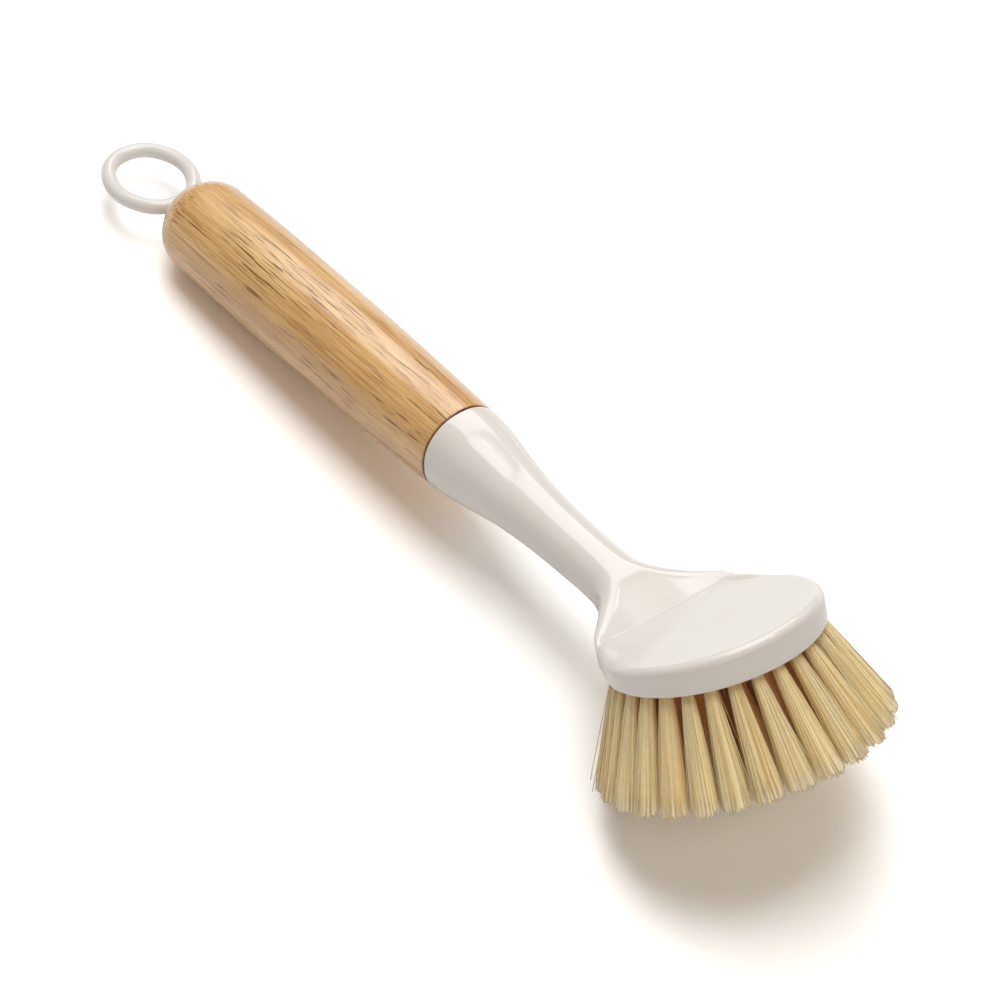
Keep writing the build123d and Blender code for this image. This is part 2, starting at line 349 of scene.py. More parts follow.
def neck_middle(x):
    """Height of the neck's middle line: it drops from the grip's axis by a bell of the distance."""
    return -NECK_DROP * (1 - np.exp(-((np.maximum(x, 0) / (NECK_TAPER * NECK_BEND_SHARE)) ** 2)))


def neck_half_height(x):
    """Half height of the neck: its radius, flattened by a share that grows over the taper."""
    flatness = 1 - (1 - NECK_FLATNESS_SHARE) * np.clip(x / NECK_TAPER, 0, 1)
    return neck_radius(x) * flatness - collar_edge(x)


def underside(x):
    """Height of the body's lower line: the neck's belly, then the plane of the head's underside.

    It is the larger of the two, with a soft corner between them.
    """
    plane = HEAD_RISE + (x - HEAD_REACH) * math.tan(HEAD_TILT)
    belly = neck_middle(x) - neck_half_height(x)
    softness = BELLY_SOFTNESS * (1 - smooth_step((x - BELLY_FADE_START) / BELLY_FADE_LENGTH))
    return soft_max(belly, plane, softness)


def top_side(x, dish):
    """Height of the body's upper line: the neck's back falls through the fan to the head's top face.

    It is the larger of the back and the plane of the top face, with a crease where they meet, and a
    hump at the shoulders. dish is a high power of the share of the half width: the fan's edges fall
    less than the rest, and the hump is all at them.
    """
    tilt = HEAD_TILT + HEAD_WEDGE
    start = HEAD_REACH - HEAD_THICKNESS * math.sin(HEAD_TILT)
    plane = HEAD_RISE + HEAD_THICKNESS * math.cos(HEAD_TILT) + (x - start) * math.tan(tilt)
    back = neck_middle(x) + neck_half_height(x) - fan_fall(x) * (1 - DISH_SHARE * dish)
    shoulder = SHOULDER_RISE * hump(x, RISE_START_SHARE, RISE_END_SHARE) * dish
    return soft_max(back, plane, CREASE_SOFTNESS) + shoulder


def wall_tilt(x):
    """Lean of the body's upright direction: a smooth step from none at the neck to all at the head."""
    return WALL_TILT * smooth_step((x - LEAN_START) / LEAN_LENGTH)


def wall_height(x, y):
    """Distance from underside to top side along the upright direction, found by repeated steps."""
    tilt, low = wall_tilt(x), underside(x)
    dish = np.clip(y / half_width(np.minimum(x, HEAD_REACH)), 0, 1) ** DISH_POWER
    height = top_side(x, dish) - low
    for _ in range(HEIGHT_STEPS):
        height = (top_side(x - height * np.sin(tilt), dish) - low) / np.cos(tilt)
    return height


def plan_outline():
    """Right half of the body's outline from above, with its outward direction at each point.

    It follows the half width along neck and fan, and then the head's circle foreshortened by its tilt.
    """
    edge = COLLAR_EDGE * (1 - np.cos(np.linspace(0, np.pi / 2, COLLAR_POINTS)))
    limits = (COLLAR_EDGE, *STATION_LIMITS, HEAD_REACH)
    runs = [np.arange(first, last, step) for first, last, step in zip(limits, limits[1:], STATION_STEPS)]
    stations = np.concatenate([edge[:-1], *runs])
    width = half_width(stations)
    slope = (half_width(stations + SLOPE_STEP) - half_width(stations - SLOPE_STEP)) / (2 * SLOPE_STEP)
    slope = np.where(stations < SQUARE_LENGTH, 0, slope)
    lean = np.cos(wall_tilt(stations))
    normal = np.stack([-slope * lean, np.ones_like(slope)], -1)
    normal /= np.linalg.norm(normal, axis=1, keepdims=True)
    turn = np.linspace(np.pi / 2, 0, RING_POINTS)
    ring_x = HEAD_REACH + HEAD_RADIUS * np.cos(turn) * math.cos(HEAD_TILT)
    x = np.concatenate([stations, ring_x])
    y = np.concatenate([width, HEAD_RADIUS * np.sin(turn)])
    out_x = np.concatenate([normal[:, 0] * lean, np.cos(turn) * math.cos(HEAD_TILT)])
    out_y = np.concatenate([normal[:, 1], np.sin(turn)])
    return x, y, out_x, out_y


def body_ribs():
    """Closed ribs round the body: flat, corner, wall, corner, flat on each side, swept round the outline.

    A corner is a quarter ellipse. At the neck it takes nearly the whole half section, so the rib is
    an ellipse there, and at the head it is a small fillet.
    """
    x, y, out_x, out_y = (value[:, None] for value in plan_outline())
    flat = edge_sharpness(x)
    shift = smooth_step((x - TURN_OUT_START) / TURN_OUT_LENGTH)
    out_x = out_x * shift
    out_y = out_y * shift + (1 - shift)
    height = wall_height(x, y)
    reach = y * ROUND_FILL_SHARE
    rise = height / 2 * ROUND_FILL_SHARE
    top_y, top_z = reach + (TOP_ROUND - reach) * flat, rise + (TOP_ROUND - rise) * flat
    low_y, low_z = reach + (RIM_ROUND - reach) * flat, rise + (RIM_ROUND - rise) * flat
    inward = np.sin(np.linspace(0, np.pi / 2, FLAT_POINTS))[None, ::-1]
    corner = np.linspace(0, np.pi / 2, CORNER_POINTS)[None, :]
    pull, lift = 1 - np.cos(corner), 1 - np.sin(corner)

    def plan(offset):
        """Outline points moved inwards by an offset."""
        return x - out_x * offset, y - out_y * offset

    low_x, low_side = plan(low_y)
    top_x, top_side_y = plan(top_y)
    low_side, top_side_y = np.maximum(low_side, 0), np.maximum(top_side_y, 0)
    wall = np.linspace(0, 1, WALL_POINTS)[None, 1:-1]
    from_below = [
        (low_x + 0 * inward, low_side * (1 - inward), 0 * inward + 0 * x),
        (*plan(low_y * pull[:, ::-1]), low_z * lift[:, ::-1]),
        (x + 0 * wall, y + 0 * wall, low_z + (height - low_z - top_z) * wall),
    ]
    from_above = [
        (*plan(top_y * pull), -top_z * lift),
        (top_x + 0 * inward, top_side_y * inward, 0 * inward),
    ]
    points = []
    for number, (px, py, h) in enumerate(from_below + from_above):
        px, py, h = np.broadcast_arrays(px, py, h)
        if number >= len(from_below):
            h = h + wall_height(px, py)
        tilt = wall_tilt(px)
        points.append(np.stack([px - h * np.sin(tilt), py, underside(px) + h * np.cos(tilt)], -1))
    right = np.concatenate(points, axis=1)
    left = right[:, ::-1] * np.array([1, -1, 1])
    return np.concatenate([right, left], axis=1)


def tang_ribs(around):
    """Rings of the hidden tang, from its chamfered end to the collar's end face."""
    turn = np.linspace(0, 2 * np.pi, around, endpoint=False)
    ends = [(-TANG_LENGTH, 0), (-TANG_LENGTH, TANG_RADIUS - TANG_CHAMFER),
            (-TANG_LENGTH + TANG_CHAMFER, TANG_RADIUS), (-TANG_LENGTH / 2, TANG_RADIUS), (0, TANG_RADIUS)]
    return np.array([
        np.stack([0 * turn + x, radius * np.sin(turn), -radius * np.cos(turn)], -1) for x, radius in ends
    ])


def brush_body(material):
    """The moulding in one closed skin: the tang's rings, then the ribs of collar, neck, fan and head."""
    ribs = body_ribs()
    rows = np.concatenate([tang_ribs(ribs.shape[1]), ribs])
    return grid_piece("brush_body_shell", rows, material)


# Grip


def grip_outline():
    """Grip's half outline, bore to bore: a parabola for the barrel and a superellipse for the dome."""
    bore, stem = TANG_RADIUS + FIT, STEM_RADIUS + FIT
    dome_start = GRIP_LENGTH - GRIP_DOME_LENGTH
    belly_x = dome_start * GRIP_BELLY_SHARE
    fit = np.polyfit([0, belly_x, dome_start], [GRIP_FRONT_RADIUS, GRIP_BELLY_RADIUS, GRIP_BUTT_RADIUS], 2)
    turn = np.linspace(0, np.pi / 2, EDGE_POINTS)
    edge = [
        (-GRIP_EDGE_ROUND * (1 - math.cos(a)), GRIP_FRONT_RADIUS - GRIP_EDGE_ROUND * (1 - math.sin(a)))
        for a in turn
    ]
    barrel_x = np.linspace(GRIP_EDGE_ROUND, dome_start, BARREL_POINTS)[1:]
    barrel = list(zip(-barrel_x, np.polyval(fit, barrel_x)))
    turn = np.linspace(0, np.pi / 2, DOME_POINTS)[1:]
    power = 2 / DOME_FULLNESS
    dome = [
        (-dome_start - GRIP_DOME_LENGTH * math.sin(a) ** power,
         GRIP_BUTT_RADIUS * max(math.cos(a), 0) ** power)
        for a in turn
    ]
    dome = [(x, radius) for x, radius in dome if radius > stem + DOME_MARGIN]
    bore_x = -TANG_LENGTH - BORE_END_GAP
    front = [(bore_x, 0), (bore_x, bore), (-BORE_MOUTH, bore), (0, bore + BORE_MOUTH)]
    stem_x = -(GRIP_LENGTH - STEM_DEPTH - BORE_END_GAP)
    butt = [(-GRIP_LENGTH + BUTT_MOUTH_STEP, stem + BUTT_MOUTH_ROOM),
            (-GRIP_LENGTH + BUTT_MOUTH_DEPTH, stem), (stem_x, stem), (stem_x, 0)]
    return np.array(front + edge + barrel + dome + butt)


def bamboo_grip(material):
    """Surface of revolution of the grip's outline about X."""
    outline = grip_outline()
    turn = np.linspace(0, 2 * np.pi, GRIP_AROUND, endpoint=False)
    x, radius = outline[:, 0, None], outline[:, 1, None]
    rows = np.stack([x + 0 * turn, radius * np.cos(turn), radius * np.sin(turn)], -1)
    return grid_piece("bamboo_grip_turned", rows, material)


# Hanging loop


def eye_route(count):
    """Points and outward directions of the oval: two end arcs and two side arcs, tangent to each other."""
    along, across = EYE_HALF_LENGTH - EYE_END_RADIUS, EYE_HALF_WIDTH - EYE_END_RADIUS
    gap = (along**2 + across**2) / (2 * across)
    side_radius = EYE_END_RADIUS + gap
    turn = math.acos(along / gap)
    heading = np.linspace(0, 2 * np.pi, count, endpoint=False)
    folded = np.abs((heading + np.pi / 2) % np.pi - np.pi / 2)
    on_end = folded < turn
    side = np.sign(np.cos(heading))
    height = np.sign(np.sin(heading))
    centre_x = np.where(on_end, side * along, 0)
    centre_y = np.where(on_end, 0, -height * (side_radius - EYE_HALF_WIDTH))
    radius = np.where(on_end, EYE_END_RADIUS, side_radius)
    outward = np.stack([np.cos(heading), np.sin(heading), 0 * heading], -1)
    points = np.stack([centre_x, centre_y, 0 * heading], -1) + radius[:, None] * outward
    points[:, 0] += EYE_X
    return points, outward


def hanging_loop(material):
    """Round section carried round the oval, with a stem that flares into it.

    The stem is a row of ellipses. Its half width grows towards the ring by a power of the distance,
    and its half height falls to the ring's by a power of the smooth step.
    """
    route, outward = eye_route(ROUTE_POINTS)
    turn = np.linspace(0, 2 * np.pi, WIRE_AROUND, endpoint=False)
    up = np.array([0, 0, 1.0])
    section = np.cos(turn)[None, :, None] * outward[:, None] + np.sin(turn)[None, :, None] * up
    ring = route[:, None] + WIRE_RADIUS * section
    ring = np.concatenate([ring, ring[:1]])
    eye = grid_piece("hanging_eye_ring", ring, material)
    near = -(GRIP_LENGTH + EYE_STANDOFF)
    inner = -(GRIP_LENGTH - STEM_DEPTH)
    share = np.linspace(0, 1, STEM_RINGS)
    x = near + (EYE_STANDOFF - BUTT_GAP) * share
    wide = STEM_RADIUS + STEM_FLARE * (1 - share) ** STEM_FLARE_POWER
    fall = (1 - smooth_step(share * FOOT_RISE_SPEED)) ** FOOT_RISE_POWER
    tall = STEM_RADIUS - (STEM_RADIUS - FOOT_HALF_HEIGHT) * fall
    end = [STEM_RADIUS, STEM_RADIUS - STEM_END_ROUND, 0]
    x = np.concatenate([[near - FOOT_SINK, near - FOOT_SINK], x, [inner - STEM_END_ROUND, inner, inner]])
    wide = np.concatenate([[0, wide[0]], wide, end])
    tall = np.concatenate([[0, FOOT_END_HALF_HEIGHT], tall, end])
    rows = np.stack([x[:, None] + 0 * turn, wide[:, None] * np.cos(turn), tall[:, None] * np.sin(turn)], -1)
    stem = grid_piece("hanging_eye_stem", rows, material)
    return eye, stem


# Bristles


def tuft_places():
    """The ring's name, the number, the ring's radius and the direction round the head of each tuft."""
    places = []
    for ring, (count, name) in enumerate(zip(TUFT_COUNTS, TUFT_RING_NAMES)):
        radius = HEAD_RADIUS - TUFT_EDGE - ring * TUFT_RING_PITCH
        for number in range(count):
            places.append((name, number + 1, radius, 2 * math.pi * number / count))
    return places


def tuft_frame(radius, turn):
    """Origin and axes of a tuft's mouth: outwards, round the head, and down out of the head."""
    along = np.array([math.cos(HEAD_TILT), 0, math.sin(HEAD_TILT)])
    up = np.array([-math.sin(HEAD_TILT), 0, math.cos(HEAD_TILT)])
    outward = along * math.cos(turn) + np.array([0, math.sin(turn), 0])
    origin = np.array([HEAD_REACH, 0, HEAD_RISE]) + outward * radius
    return origin, outward, np.cross(-up, outward), -up


def from_tuft(axes, points):
    """Design points of points given in a tuft's own axes."""
    origin, outward, side, down = axes
    return origin + points[..., :1] * outward + points[..., 1:2] * side + points[..., 2:] * down


def tuft_splay(radius):
    """How far a tuft's tip leans outwards: in proportion to its ring's radius."""
    return TIP_SPLAY * radius / (HEAD_RADIUS - TUFT_EDGE)


def fibre_lines(count, radius, spread):
    """Centrelines of a tuft's fibres in its own axes.

    Roots and tips fill circles evenly, one step of the golden angle after another. Each fibre runs
    from root to tip in a straight line plus a bow, which is a parabola of the height, and has its own
    length and a small drift of its tip, larger for the few strays.
    """
    reach = np.sqrt((np.arange(count) + 0.5) / count)
    turn = np.arange(count) * math.pi * (3 - math.sqrt(5)) + rng.uniform(0, 2 * math.pi)
    root = np.stack([np.cos(turn), np.sin(turn)], -1) * (reach * (HOLE_RADIUS - FIBRE_MARGIN))[:, None]
    drift = rng.normal(0, TIP_DRIFT, (count, 2))
    stray = rng.uniform(size=count) < STRAY_SHARE
    drift[stray] *= STRAY_DRIFT
    tip = np.stack([np.cos(turn), np.sin(turn)], -1) * (reach * spread)[:, None] + drift
    tip[:, 0] += tuft_splay(radius)
    height = FIBRE_HEIGHT + rng.uniform(-TIP_UNEVENNESS, TIP_UNEVENNESS, count) - TIP_CROWN * reach**2
    bow = rng.normal(0, FIBRE_BOW, (count, 2))
    share = np.linspace(0, 1, FIBRE_RINGS)[None, :, None]
    flat = root[:, None] + (tip - root)[:, None] * share + bow[:, None] * (share * (1 - share) * 4)
    level = -FIBRE_SINK + (height[:, None] + FIBRE_SINK) * share[..., 0]
    return np.concatenate([flat, level[..., None]], -1)


def painted_inner_shade(name, points, radius):
    """Share of painted shade at a place in a tuft, standing in for the shade and orange bounce light deep
    in the brush: all of the inner rings.

    In the outer ring it is a smooth step of the distance outwards from the tuft's middle line.
    """
    if name != TUFT_RING_NAMES[0]:
        return np.ones(points.shape[:-1])
    share = np.clip(points[..., 2] / FIBRE_HEIGHT, 0, 1)
    reach = (HOLE_RADIUS - SHADE_MARGIN) + (TIP_SPREADS[0] - HOLE_RADIUS) * share
    return smooth_step(SHADE_MIDDLE - SHADE_SLOPE * (points[..., 0] - tuft_splay(radius) * share) / reach)


def tuft_core(radius, spread):
    """Fluted cone of packed fibres inside a tuft, in the tuft's own axes, with the tone of each flute.

    Each ring is a circle that grows and moves outwards with the height, its radius varied from
    column to column by a random share. The last two rings are uneven in height, and the rows before
    the first and after the last are their middles, which close the ends.
    """
    share = np.append(np.linspace(0, CORE_LAST_SHARE, CORE_RINGS - 1), 1)[:, None]
    turn = np.linspace(0, 2 * math.pi, CORE_COLUMNS, endpoint=False)
    flute = 1 + rng.uniform(-FLUTE_DEPTH, 0.0, CORE_COLUMNS)
    growth = spread - HOLE_RADIUS + CORE_MARGIN
    reach = CORE_SHARE * flute * ((HOLE_RADIUS - CORE_MARGIN) + growth * share)
    level = -FIBRE_SINK + (CORE_HEIGHT + FIBRE_SINK) * share + 0 * turn
    level[-2:] += rng.uniform(*CORE_END_SPREAD, CORE_COLUMNS)
    along = tuft_splay(radius) * share + reach * np.cos(turn)
    points = np.stack([along, reach * np.sin(turn), level], -1)
    ends = points[[0, -1]].mean(axis=1, keepdims=True) + 0 * points[[0, -1]]
    ends[1, :, 2] -= CORE_END_DISH
    return np.concatenate([ends[:1], points, ends[1:]]), rng.uniform(0, 1, CORE_COLUMNS)


def fibre_prisms(lines):
    """Points in metres of a prism round each line: a triangle at each level, thinner towards the tip."""
    placed = place(lines)
    count = len(lines)
    direction = placed[:, -1] - placed[:, 0]
    direction /= np.linalg.norm(direction, axis=1, keepdims=True)
    across = np.cross(direction, np.array(SIDE_REFERENCE))
    across /= np.linalg.norm(across, axis=1, keepdims=True)
    other = np.cross(direction, across)
    roll = rng.uniform(0, 2 * math.pi, count)
    thick = rng.uniform(*FIBRE_THICKNESS, count)
    angle = roll[:, None] + np.arange(FIBRE_SIDES) * 2 * math.pi / FIBRE_SIDES
    ring = np.cos(angle)[..., None] * across[:, None] + np.sin(angle)[..., None] * other[:, None]
    share = np.linspace(0, 1, FIBRE_RINGS)
    width = (FIBRE_ROOT_WIDTH + (FIBRE_TIP_WIDTH - FIBRE_ROOT_WIDTH) * share) / 2 * MM
    return placed[:, :, None] + ring[:, None] * (width[None, :, None, None] * thick[:, None, None, None])


def above_floor(points):
    """The points in one list, with those under the floor lifted onto it."""
    points[..., 2] = np.maximum(points[..., 2], 0)
    return points.reshape(-1, 3)


def tuft_piece(name, number, radius, turn, material):
    """A tuft: its fibres and its core in one mesh.

    Attributes give each point its fibre's tone, its share of the height, and its share of the painted shade
    inside the brush.
    """
    axes = tuft_frame(radius, turn)
    spread = TIP_SPREADS[TUFT_RING_NAMES.index(name)]
    count = FIBRES_OUTSIDE if name == TUFT_RING_NAMES[0] else FIBRES_INSIDE
    lines = fibre_lines(count, radius, spread)
    inner = painted_inner_shade(name, lines, radius)
    points = above_floor(fibre_prisms(from_tuft(axes, lines)))
    core, core_tone = tuft_core(radius, spread)
    core_inner_shade = painted_inner_shade(name, core, radius)
    core_points = above_floor(place(from_tuft(axes, core)))

    first = np.arange(count)[:, None, None] * FIBRE_SIDES * FIBRE_RINGS
    quads = (ring_quads(FIBRE_RINGS, FIBRE_SIDES)[None] + first).reshape(-1, 4)
    corners = np.arange(FIBRE_SIDES)
    caps = np.array([corners[::-1], corners + (FIBRE_RINGS - 1) * FIBRE_SIDES])
    triangles = (caps[None] + first).reshape(-1, 3)
    core_quads = ring_quads(len(core), CORE_COLUMNS)[:, [0, 3, 2, 1]] + len(points)
    groups = [np.concatenate([quads, core_quads]), triangles]
    all_points = np.concatenate([points, core_points])
    piece = mesh_piece(f"{name}_tuft_{number:02d}_fibres", all_points, groups, material)

    share = np.linspace(0, 1, FIBRE_RINGS)
    core_share = np.clip((np.arange(len(core)) - 1) / (CORE_RINGS - 2), 0, 1)
    fibre_tone = np.repeat(rng.uniform(0, 1, count), FIBRE_SIDES * FIBRE_RINGS)
    values = {
        "tone": [fibre_tone, np.tile(core_tone, len(core))],
        "along": [np.tile(np.repeat(share, FIBRE_SIDES), count), np.repeat(core_share, CORE_COLUMNS)],
        # The inside attribute is the share of painted shade deep in the brush
        "inside": [np.repeat(inner.ravel(), FIBRE_SIDES), core_inner_shade.ravel()],
    }
    for label, parts in values.items():
        layer = piece.data.attributes.new(label, "FLOAT", "POINT")
        layer.data.foreach_set("value", np.concatenate(parts).astype(np.float32))
    return piece


# Materials

# A pair of limits holds the values between which a layer comes in. Four values are two such limits
# and what they are sent to: shares of a layer, or roughness.
SPECULAR = 0.5

# Sockets of Blender's mix node, by number
MIX_SHARE = 0
MIX_FLOATS = (2, 3)
MIX_COLOURS = (6, 7)
MIX_COLOUR_RESULT = 2

# Bamboo: noise cells in a metre along and across the grip, limits and shares, colours and relief
BROAD_STREAKS = (9, 150)
FINE_STREAKS = (45, 1500)
HAIR_STREAKS = (90, 4200)
DASHES = (75, 2100)
DASH_CLUSTERS = (22, 330)
STREAK_LIMITS = (0.35, 0.75)
HAIR_LIMITS = (0.3, 0.7)
HAIR_SHARE = 0.35
DASH_LIMITS = (0.58, 0.66)
CLUSTER_LIMITS = (0.42, 0.56)
DASH_SHARE = 0.85
BAMBOO_RAMP = ((0.30, srgb(214, 162, 98)), (0.5, srgb(238, 190, 125)), (0.72, srgb(250, 214, 155)))
BAMBOO_STREAK = srgb(188, 131, 69)
BAMBOO_HAIR = srgb(232, 194, 138)
BAMBOO_DASH = srgb(104, 62, 27)
# Painted shade of the gap at the seam by the collar, partly the end grain's own darker edge
BAMBOO_SEAM_SHADE = srgb(96, 48, 24)
SEAM_SHADE_LIMITS = (-0.0009, -0.0001)
BAMBOO_GLOSS = (0.2, 0.8, 0.22, 0.34)
BAMBOO_COAT = 0.6
BAMBOO_COAT_ROUGHNESS = 0.12
STREAK_RELIEF_SHARE = 0.4
BAMBOO_RELIEF = 0.00012
BAMBOO_RELIEF_STRENGTH = 0.5

# Plastic: noise cells in a metre, depth of the orange-peel in metres, and each piece's two whites
CLOUD_CELLS = 38.0
CLOUD_STOPS = (0.35, 0.65)
SPECK_CELLS = 900.0
SPECK_LIMITS = (0.3, 0.7)
PEEL_CELLS = 420.0
PEEL_DEPTH = 0.00002
PEEL_STRENGTH = 0.4
GLOSS_SPREAD = 0.03
BODY_WHITES = (srgb(234, 229, 222), srgb(237, 232, 226))
BODY_ROUGHNESS = 0.10
LOOP_WHITES = (srgb(233, 229, 224), srgb(236, 233, 229))
LOOP_ROUGHNESS = 0.12

# Bristles: colours by tone, painted shade inside the brush and at the root, colours at the cut tip and in
# patches, and the shares of the last four by height, or by the value of the patches' noise
FIBRE_RAMP = (
    (0.0, srgb(246, 208, 138)), (0.25, srgb(252, 228, 168)), (0.65, srgb(255, 238, 190)),
    (1.0, srgb(255, 245, 206)),
)
# Painted shade: orange-brown deep in the brush, where the inner tufts lie in shade and bounce light
FIBRE_DEEP_SHADE = srgb(252, 172, 84)
# Painted shade: brown at the fibres' roots, where the head shades them
FIBRE_ROOT_SHADE = srgb(236, 180, 106)
FIBRE_TIP = srgb(255, 246, 228)
FIBRE_PATCH = srgb(232, 200, 140)
PATCH_CELLS = 700.0
DEEP_SHADE_SHARES = (0.1, 0.95, 0.95, 0.0)
ROOT_SHADE_SHARES = (0.0, 0.2, 0.3, 0.0)
TIP_SHARES = (0.85, 1.0, 0.0, 0.4)
PATCH_SHARES = (0.4, 0.8, 0.0, 0.25)
FIBRE_ROUGHNESS = 0.40
FIBRE_SHEEN = (1.0, 0.9, 0.7, 1)
SHEEN_SHARE = 0.35
SHEEN_ROUGHNESS = 0.4

# Steel and floor
STEEL_CELLS = 1400.0
STEEL_RAMP = ((0.3, srgb(150, 152, 154)), (0.7, srgb(196, 197, 198)))
STEEL_GLOSS = (0.3, 0.7, 0.28, 0.44)
STEEL_RELIEF = 0.00001
STEEL_RELIEF_STRENGTH = 0.3
PAPER_CELLS = 3.0
PAPER_LEVELS = (0.93, 0.95)


class Nodes:
    """Short way to add and link the nodes of one material."""

    def __init__(self, name):
        """New material with its shader, ready for links."""
        self.material = bpy.data.materials.new(name)
        self.material.use_nodes = True
        self.tree = self.material.node_tree
        self.shader = self.tree.nodes["Principled BSDF"]

    def add(self, kind, settings=None, **inputs):
        """New node with its settings, fed by values or sockets named after its inputs."""
        node = self.tree.nodes.new(kind)
        for key, value in (settings or {}).items():
            setattr(node, key, value)
        self.feed_all(node, inputs)
        return node

    def surface(self, **inputs):
        """Feeds the shader's inputs with values or sockets named after them."""
        self.feed_all(self.shader, inputs)

    def feed_all(self, node, inputs):
        """Feeds a node from a table of values or sockets by the inputs' names, with _ for a space."""
        for key, value in inputs.items():
            self.feed(node.inputs[key.replace("_", " ")], value)

    def feed(self, socket, value):
        """Links a socket to an input, or writes a constant on it."""
        if isinstance(value, bpy.types.NodeSocket):
            self.tree.links.new(value, socket)
        else:
            socket.default_value = value

    def math(self, operation, first, second=0.0):
        """Result of a sum, product or other operation on two values."""
        node = self.tree.nodes.new("ShaderNodeMath")
        node.operation = operation
        self.feed(node.inputs[0], first)
        self.feed(node.inputs[1], second)
        return node.outputs[0]

    def ramp(self, value, *stops):
        """Colour ramp through (place, colour) stops."""
        node = self.add("ShaderNodeValToRGB", Fac=value)
        elements = node.color_ramp.elements
        while len(elements) < len(stops):
            elements.new(0.5)
        for element, (spot, colour) in zip(elements, stops):
            element.position = spot
            element.color = colour
        return node.outputs["Color"]

    def mix(self, share, first, second):
        """Colour a share of the way from the first to the second."""
        node = self.tree.nodes.new("ShaderNodeMix")
        node.data_type = "RGBA"
        for number, value in zip((MIX_SHARE, *MIX_COLOURS), (share, first, second)):
            self.feed(node.inputs[number], value)
        return node.outputs[MIX_COLOUR_RESULT]

    def range(self, value, low, high, to_low=0.0, to_high=1.0):
        """Smooth step of a value between two limits, sent to two others."""
        node = self.add("ShaderNodeMapRange", {"interpolation_type": "SMOOTHSTEP"}, Value=value)
        for number, limit in enumerate((low, high, to_low, to_high), start=1):
            node.inputs[number].default_value = limit
        return node.outputs[0]

    def noise(self, vector, scale=1.0, detail=2.0, roughness=0.5):
        """Value of a noise with this many cells a unit."""
        node = self.add(
            "ShaderNodeTexNoise", Vector=vector, Scale=scale, Detail=detail, Roughness=roughness
        )
        return node.outputs["Fac"]

    def bump(self, height, distance, strength=1.0):
        """Relief of the shader's surface from a height, with its depth in metres."""
        node = self.add("ShaderNodeBump", Height=height, Distance=distance, Strength=strength)
        self.tree.links.new(node.outputs["Normal"], self.shader.inputs["Normal"])


def grip_coordinates(nodes):
    """Object coordinates turned so that X runs along the grip's axis, with the grip's front at zero."""
    coordinate = nodes.add("ShaderNodeTexCoord")
    origin = place([0, 0, 0])
    move = nodes.add("ShaderNodeMapping", {"vector_type": "POINT"}, Vector=coordinate.outputs["Object"])
    turned = Matrix.Rotation(PITCH, 3, "Y") @ Vector(origin)
    move.inputs["Location"].default_value = -turned
    move.inputs["Rotation"].default_value = (0, PITCH, 0)
    return move.outputs["Vector"]


def stretched(nodes, vector, along, across):
    """Coordinates scaled so that a noise has this many cells a metre along and across the grain."""
    scale = nodes.add("ShaderNodeMapping", {"vector_type": "POINT"}, Vector=vector)
    scale.inputs["Scale"].default_value = (along, across, across)
    return scale.outputs["Vector"]


def bamboo_material():
    """Bamboo: broad, fine and hair streaks along the grip, dark dashes in clusters, and at the seam a
    painted shade of the gap, partly the end's own darker edge.

    The dashes fade out over the dome. Gloss follows the fine streaks, and the dashes are sunk.
    """
    nodes = Nodes("bamboo")
    vector = grip_coordinates(nodes)
    broad = nodes.noise(stretched(nodes, vector, *BROAD_STREAKS), detail=3.0)
    fine = nodes.noise(stretched(nodes, vector, *FINE_STREAKS), detail=3.0, roughness=0.6)
    hair = nodes.noise(stretched(nodes, vector, *HAIR_STREAKS), roughness=0.6)
    base = nodes.ramp(broad, *BAMBOO_RAMP)
    base = nodes.mix(nodes.range(fine, *STREAK_LIMITS), base, BAMBOO_STREAK)
    base = nodes.mix(nodes.math("MULTIPLY", nodes.range(hair, *HAIR_LIMITS), HAIR_SHARE), base, BAMBOO_HAIR)
    dash = nodes.noise(stretched(nodes, vector, *DASHES), detail=1.0)
    group = nodes.noise(stretched(nodes, vector, *DASH_CLUSTERS))
    dash = nodes.math("MULTIPLY", nodes.range(dash, *DASH_LIMITS), nodes.range(group, *CLUSTER_LIMITS))
    end = nodes.add("ShaderNodeSeparateXYZ", Vector=vector).outputs["X"]
    barrel = nodes.range(end, -GRIP_LENGTH * MM, (GRIP_DOME_LENGTH - GRIP_LENGTH) * MM)
    dash = nodes.math("MULTIPLY", dash, barrel)
    base = nodes.mix(nodes.math("MULTIPLY", dash, DASH_SHARE), base, BAMBOO_DASH)
    # Painted shade: the last millimetre of the grip darkens towards the seam, partly the end's own darker
    # edge
    base = nodes.mix(nodes.range(end, *SEAM_SHADE_LIMITS), base, BAMBOO_SEAM_SHADE)
    nodes.surface(Base_Color=base, Roughness=nodes.range(fine, *BAMBOO_GLOSS), Coat_Weight=BAMBOO_COAT,
                  Coat_Roughness=BAMBOO_COAT_ROUGHNESS, Specular_IOR_Level=SPECULAR)
    height = nodes.math("SUBTRACT", nodes.math("MULTIPLY", fine, STREAK_RELIEF_SHARE), dash)
    nodes.bump(height, BAMBOO_RELIEF, BAMBOO_RELIEF_STRENGTH)
    return nodes.material


def moulded_material(name, whites, roughness):
    """Moulded plastic: a faint cloudiness in colour and gloss, and a very shallow orange-peel."""
    nodes = Nodes(name)
    vector = nodes.add("ShaderNodeTexCoord").outputs["Object"]
    cloud = nodes.noise(vector, CLOUD_CELLS, detail=3.0)
    colour = nodes.ramp(cloud, *zip(CLOUD_STOPS, whites))
    speck = nodes.noise(vector, SPECK_CELLS)
    gloss = nodes.range(speck, *SPECK_LIMITS, roughness - GLOSS_SPREAD, roughness + GLOSS_SPREAD)
    nodes.surface(Base_Color=colour, Roughness=gloss, Specular_IOR_Level=SPECULAR)
    peel = nodes.noise(vector, PEEL_CELLS)
    nodes.bump(peel, PEEL_DEPTH, PEEL_STRENGTH)
    return nodes.material


